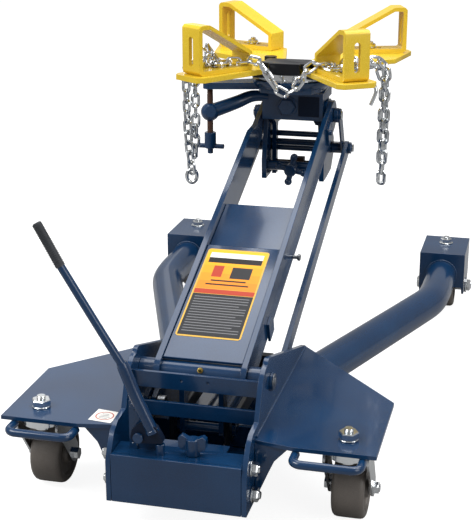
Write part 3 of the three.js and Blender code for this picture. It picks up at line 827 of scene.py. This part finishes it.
def printed_ring(ink_thick=0.2):
    """Four circles, (x + r cos w, y + r sin w): outer low and high, then inner high and low."""
    w = full_turn(60)
    top = INK_Z + ink_thick
    edges = [np.stack([RING_X + r * np.cos(w), RING_Y + r * np.sin(w), 0 * w + z], 1)
             for r, z in ((RING_OUT, INK_Z), (RING_OUT, top), (RING_IN, top), (RING_IN, INK_Z))]
    return mesh_from_grid(edges, True)


film = flat_patch(((-156, 58), (-118, 54), (-115, 94), (-153, 99)), STICKER_Z, STICKER_Z + 0.2)
fit("deck_sticker", [film], "frame", None, material=PRINT["white"])
fit("sticker_ring", [printed_ring()], "frame", None, material=PRINT["red"])
dashes = [dash(-144, 72, 18), dash(-143, 77, 15), dash(-141, 82, 11), dash(-142, 67, 13)]
fit("sticker_dashes", dashes, "frame", None, material=PRINT["grey"])
print("wing sticker made")

# %% [markdown]
# Small fittings are easy to leave out, and a machine looks like a toy without them. The pivot
# tube has a brass grease nipple, a guide pin keeps the levelling bar in line, and a pipe runs
# from the pump to the cylinder. Each is a turned profile, a bar or a carried circle.

# %% Nipple, guide pin, pipe and head rods
NIPPLE = [(0, 4.5), (3, 4.5), (3.2, 3.2), (6, 3.2), (6.6, 2.2), (8, 3.1), (9.6, 2.4), (10.2, 1.2)]
GUIDE_AT = np.array(on_arm(0, 338, -21))
STAY_Y = 917
fit("grease_nipple", [turned(NIPPLE, (0, 144.8, 210), (0, -0.8, 0.6), 28)], "arm", None,
    material=BRASS)
fit("guide_pin", [bar(GUIDE_AT, ACROSS, 74.6, 89, 3.2), bar(GUIDE_AT, ACROSS, 84, 89, 6)],
    "arm", "steel")
pipe = smooth_path([(32, 86, 90), (32, 100, 86), (32, 150, 74), (31, 205, 70), (26, 232, 68)], 60)
fit("pressure_pipe", [carried(pipe, 4, sides=20)], "frame", "steel")
fit("head_stay_rods", [bar((0, STAY_Y, 394), ACROSS, -54, 54, 6),
                       bar((0, STAY_Y, 409), ACROSS, -54, 54, 4)], "head", "navy_paint")
print("small fittings made")

# %% [markdown]
# The head hangs between short flat links, and pins with caps hold them. A strap is an outline
# in YZ given thickness along X; a link's outline is two half circles joined by straight edges.

# %% Head links and pin caps
LINK_X = (84.4, 88.2)
LINK_END_R = 14
BAR_TOP = (HEAD_Y + 45, HEAD_Z - 76)


def strap(outline, low, high):
    """A flat plate: the (y, z) outline at x = low and again at x = high."""
    return mesh_from_grid([[(x, y, z) for y, z in outline] for x in (low, high)])


def round_ended(a, b, radius, n=14):
    """Outline of a strap from a to b: a + half circle at one end, b - the same at the other."""
    a, b = np.array(a, float), np.array(b, float)
    lean = math.atan2(*(b - a)[::-1])
    turn = np.linspace(np.pi / 2, 1.5 * np.pi, n) + lean
    half = np.stack([np.cos(turn), np.sin(turn)], 1) * radius
    return np.vstack([a + half, b - half])


for side, sign in SIDES.items():
    out = (sign, 0, 0)
    thickness = sorted(sign * x for x in LINK_X)
    link = strap(round_ended((HEAD_Y, HEAD_Z), BAR_TOP, LINK_END_R), *thickness)
    fit(f"head_link_{side}", [link], "head", "navy_paint")
    fit(f"pin_caps_{side}", [bar((sign * 88, *BAR_TOP), out, 18.6, 21, 8),
                             bar((sign * 88, HEAD_Y, HEAD_Z), out, 0.4, 3.4, 9)], "head", "zinc")
    pivot = (sign * 113, PIVOT_Y, PIVOT_Z)
    fit(f"pivot_snap_ring_{side}", [bar(pivot, out, 0.3, 2.4, 13), bar(pivot, out, 2, 4, 7)],
        "frame", "steel")
print("head links made")

# %% [markdown]
# The saddle turns on a pale ring, over a dished table, with a nose plate on top of its centre.
# Ring and dish are turned profiles. The plate is a stack of rounded outlines, drawn in a
# little at top and bottom. A nut on a stud holds each bracket to its arm.

# %% Saddle centre and bracket nuts
BEARING_RING = [(556, 65), (557, 67), (570.5, 67), (572, 65)]
TABLE_DISH = [(533.4, 52), (534.2, 61), (543, 74), (552, 78), (556, 78), (557, 76.5)]
EDGE_INSET, EDGE_RISE = 1.0, 0.8
STUD_REACH, STUD_Z = 60, 583
ARM_PINS = {"front": (80.4, 752.5, -55), "rear": (68, 999, 18.5)}


def rounded_plate(x0, x1, y0, y1, z0, z1, radius):
    """A flat plate with upright corners rounded: outlines at four levels, the end ones inset."""
    outline = rounded_outline(x0, x1, y0, y1, radius)
    levels = [(z0, EDGE_INSET), (z0 + EDGE_RISE, 0.0), (z1 - EDGE_RISE, 0.0), (z1, EDGE_INSET)]
    xm, ym = (x0 + x1) / 2, (y0 + y1) / 2
    return mesh_from_grid([[(x - inset * np.sign(x - xm), y - inset * np.sign(y - ym), z)
                            for x, y in outline] for z, inset in levels])


def bracket_nut(pin_x, pin_y, lean_degrees, sign):
    """Washer, nut and stud end, out along the arm from its pin: pin + reach (cos, sin)."""
    lean = math.radians(lean_degrees)
    c = (sign * (pin_x + STUD_REACH * math.cos(lean)), pin_y + STUD_REACH * math.sin(lean),
         STUD_Z)
    return [bar(c, UP, 8.7, 10.4, 12.5), hex_nut(c, UP, 10, 17.4, 10.6),
            threaded(c, UP, 16, 21.5, 5.4, 1.8)]


fit("saddle_bearing_ring", [turned(BEARING_RING, (0, SADDLE_Y, 0), UP, 80)], "table", "zinc")
fit("saddle_cap_plate", [rounded_plate(-45, 45, 752, 806, 586, 595.5, 8),
                         rounded_plate(-31, 31, 745.5, 753.5, 573.5, 595.5, 3)],
    "table", "black_paint")
fit("table_dish", [turned(TABLE_DISH, (0, SADDLE_Y, 0), UP, 96)], "table", "navy_paint")
for end, pin in ARM_PINS.items():
    for side, sign in SIDES.items():
        fit(f"bracket_nut_{end}_{side}", bracket_nut(*pin, sign), f"arm_{end}_{side}", "zinc")
print("saddle centre made")

# %% [markdown]
# The tilting casting under the table has a cheek on each side, a large bolt in its face and a
# square hollow beside it. The hollow is a thin patch of painted shade: a real pocket would need
# a cut in the solid, and from any usual angle the eye sees only the shade that lies in it.

# %% Tilting casting
CASTING_BOLT = (-10, 830, 497)
POCKET = ((12, 478), (54, 478), (54, 518), (12, 518))
for side, sign in SIDES.items():
    cheek = rounded_plate(*sorted((sign * 52, sign * 61)), 842, 930, 506.5, 524, 1.5)
    fit(f"casting_cheek_{side}", [cheek], "tilt", "navy_paint")
pocket = [[(x, y, z) for x, z in POCKET] for y in (829.2, 830.4)]
# Painted shade: a dark sheet stands for the shade down in the pocket
fit("casting_pocket_painted_shade", [mesh_from_grid(pocket)], "tilt", "navy_paint", material=PAINTED_SHADE_NAVY)
fit("casting_bolt", [bar(CASTING_BOLT, (0, -1, 0), -1, 2.6, 20.5),
                     hex_nut(CASTING_BOLT, (0, -1, 0), 2, 12.5, 17.5)], "tilt", "navy_paint")
print("tilting casting made")

# %% [markdown]
# Two flat tabs are welded to the outside of the right arm plate: a clip for the levelling
# bar low down, and a stop with a pin near the head. Both are straps in the arm's own lean.

# %% Arm clip and stop
TAB_X = (74.9, 79)
CLIP = ((128, -34), (158, -34), (160, -8), (146, 4), (128, 2))
STOP = ((690, -16), (722, -16), (722, 20), (690, 20))


def arm_strap(outline):
    """A strap on the arm plate from (along, above) pairs of its outline."""
    return strap([on_arm(0, t, h)[1:] for t, h in outline], *TAB_X)


fit("arm_clip", [arm_strap(CLIP)], "arm", "navy_paint")
stop_pin = bar(on_arm(TAB_X[1], 706, 4), ACROSS, -1, 4, 5)
fit("arm_tab", [arm_strap(STOP), stop_pin], "arm", "navy_paint")
print("arm clip and stop made")

# %% [markdown]
# The frame is welded from plate, so beads run where the decks meet the side plates and down
# the corners of the end plate. Each is the same rippled tube as on the legs, left open.

# %% Weld beads on the frame
BEAD_STEP = 1.2
SEAMS = [((109.6, 60, 149), (109.6, 436, 149), UP), ((109.6, 52, 141.6), (109.6, 430, 141.6), UP),
         ((109.8, 57, 138), (109.8, 57, 52), ALONG), ((100.2, 8.6, 120), (100.2, 8.6, 50), ALONG)]


def seam(start, end, up, sign):
    """A straight bead: start (1 - f) + end f, with a point about every 1.2 mm."""
    count = int(np.linalg.norm(np.subtract(end, start)) / BEAD_STEP)
    f = np.linspace(0, 1, count)[:, None]
    line = np.array(start) * (1 - f) + np.array(end) * f
    return weld(mirrored(line, sign), 1.9, up, closed=False)


for side, sign in SIDES.items():
    fit(f"frame_welds_{side}", [seam(*ends, sign) for ends in SEAMS], "frame", "navy_paint")
print("frame welds made")

# %% [markdown]
# The jack stands on a plain pale floor in a white studio. White paint alone would go grey in
# the lamps' fall-off and, as a mirror image, would whiten every glossy plate. So the floor and
# the world show the camera a bright white, and give reflections and light a mid grey.

# %% Floor and world
FLOOR_HALF = 9
FLOOR_GLOW = 0.9
WORLD_LIGHT, WORLD_SEEN = 0.36, 1.05
WHITE = (1, 1, 1, 1)


def for_camera(tree, unseen, seen):
    """A node whose Result is seen for rays from the camera and unseen for all others."""
    path = add_node(tree, "LightPath")
    return add_node(tree, "MapRange", [("Value", path, "Is Camera Ray")], To_Min=unseen,
                    To_Max=seen)


def add_floor():
    """A square at z = 0 with matt paper on it."""
    mesh = bpy.data.meshes.new("floor")
    corners = [(-FLOOR_HALF, -FLOOR_HALF, 0), (FLOOR_HALF, -FLOOR_HALF, 0),
               (FLOOR_HALF, FLOOR_HALF, 0), (-FLOOR_HALF, FLOOR_HALF, 0)]
    mesh.from_pydata(corners, [], [(0, 1, 2, 3)])
    paper = finish("pale_floor", "#9a9a9a", "#969696", 0.9, 4.0, 0.0, specular=0.0)
    tree = paper.node_tree
    matt = tree.nodes["Principled BSDF"]
    matt.inputs["Emission Color"].default_value = WHITE
    glow = for_camera(tree, 0.0, FLOOR_GLOW)
    tree.links.new(glow.outputs["Result"], matt.inputs["Emission Strength"])
    mesh.materials.append(paper)
    obj = bpy.data.objects.new("floor", mesh)
    bpy.context.collection.objects.link(obj)
    return obj


def add_world():
    """An even white light from all round."""
    world = bpy.data.worlds.new("studio")
    world.use_nodes = True
    tree = world.node_tree
    studio_white = tree.nodes["Background"]
    studio_white.inputs["Color"].default_value = WHITE
    strength = for_camera(tree, WORLD_LIGHT, WORLD_SEEN)
    tree.links.new(strength.outputs["Result"], studio_white.inputs["Strength"])
    bpy.context.scene.world = world


floor = add_floor()
add_world()
bpy.context.scene.view_settings.view_transform = "Standard"
print("floor and world ready")

# %% [markdown]
# Gloss is only as good as what it mirrors. A large key lamp on the left models the forms, a
# weaker fill on the right opens the shadows, and a wide lamp overhead lights the plates. A
# faint rim lamp parts the far edges, and a narrow strip draws a line of light down the arm.

# %% Lamps


def lamp(name, place_m, aim_m, size, power):
    """A rectangular lamp whose face looks from its place to its aim, in metres and watts."""
    data = bpy.data.lights.new(name, "AREA")
    data.shape = "RECTANGLE"
    data.size, data.size_y = size
    data.energy = power
    obj = bpy.data.objects.new(name, data)
    bpy.context.collection.objects.link(obj)
    away = np.array(place_m) - np.array(aim_m)
    away = away / np.linalg.norm(away)
    obj.location = place_m
    obj.rotation_euler = (math.acos(away[2]), 0, math.atan2(away[0], -away[1]))
    return obj


lamps = [lamp("key_lamp", (-2.2, -1.6, 2.6), (0, 0, 0.3), (2.2, 1.6), 80),
         lamp("fill_lamp", (2.6, -1.8, 1.6), (0, 0, 0.3), (1.6, 2.2), 30),
         lamp("top_lamp", (0.2, 0.9, 3.2), (0, 0.1, 0.2), (3.0, 3.0), 95),
         lamp("rim_lamp", (-1.7, 2.3, 1.5), (-0.2, -0.3, 0.1), (2.0, 1.2), 4),
         lamp("strip_lamp", (1.3, -0.2, 2.4), (0, 0, 0.2), (0.16, 2.4), 16)]
print(len(lamps), "lamps")

# %% [markdown]
# The camera stands at the handle end, a little to the right and above the saddle. A long lens
# from well back keeps the near wheels from looking larger than the far ones.

# %% Camera
CAMERA_AT = (503.5, -1633.3, 984.3)
CAMERA_TURN = (72.2, 0, 14.1)
LENS_MM, FILM_MM = 88.76, 36
camera_data = bpy.data.cameras.new("camera")
camera_data.sensor_fit = "VERTICAL"
camera_data.sensor_height = FILM_MM
camera_data.lens = LENS_MM
camera_data.clip_end = 50
camera = bpy.data.objects.new("camera", camera_data)
bpy.context.collection.objects.link(camera)
camera.location = place(CAMERA_AT)
camera.rotation_euler = [math.radians(a) for a in CAMERA_TURN]
bpy.context.scene.camera = camera
print("camera at", [round(v, 3) for v in camera.location])
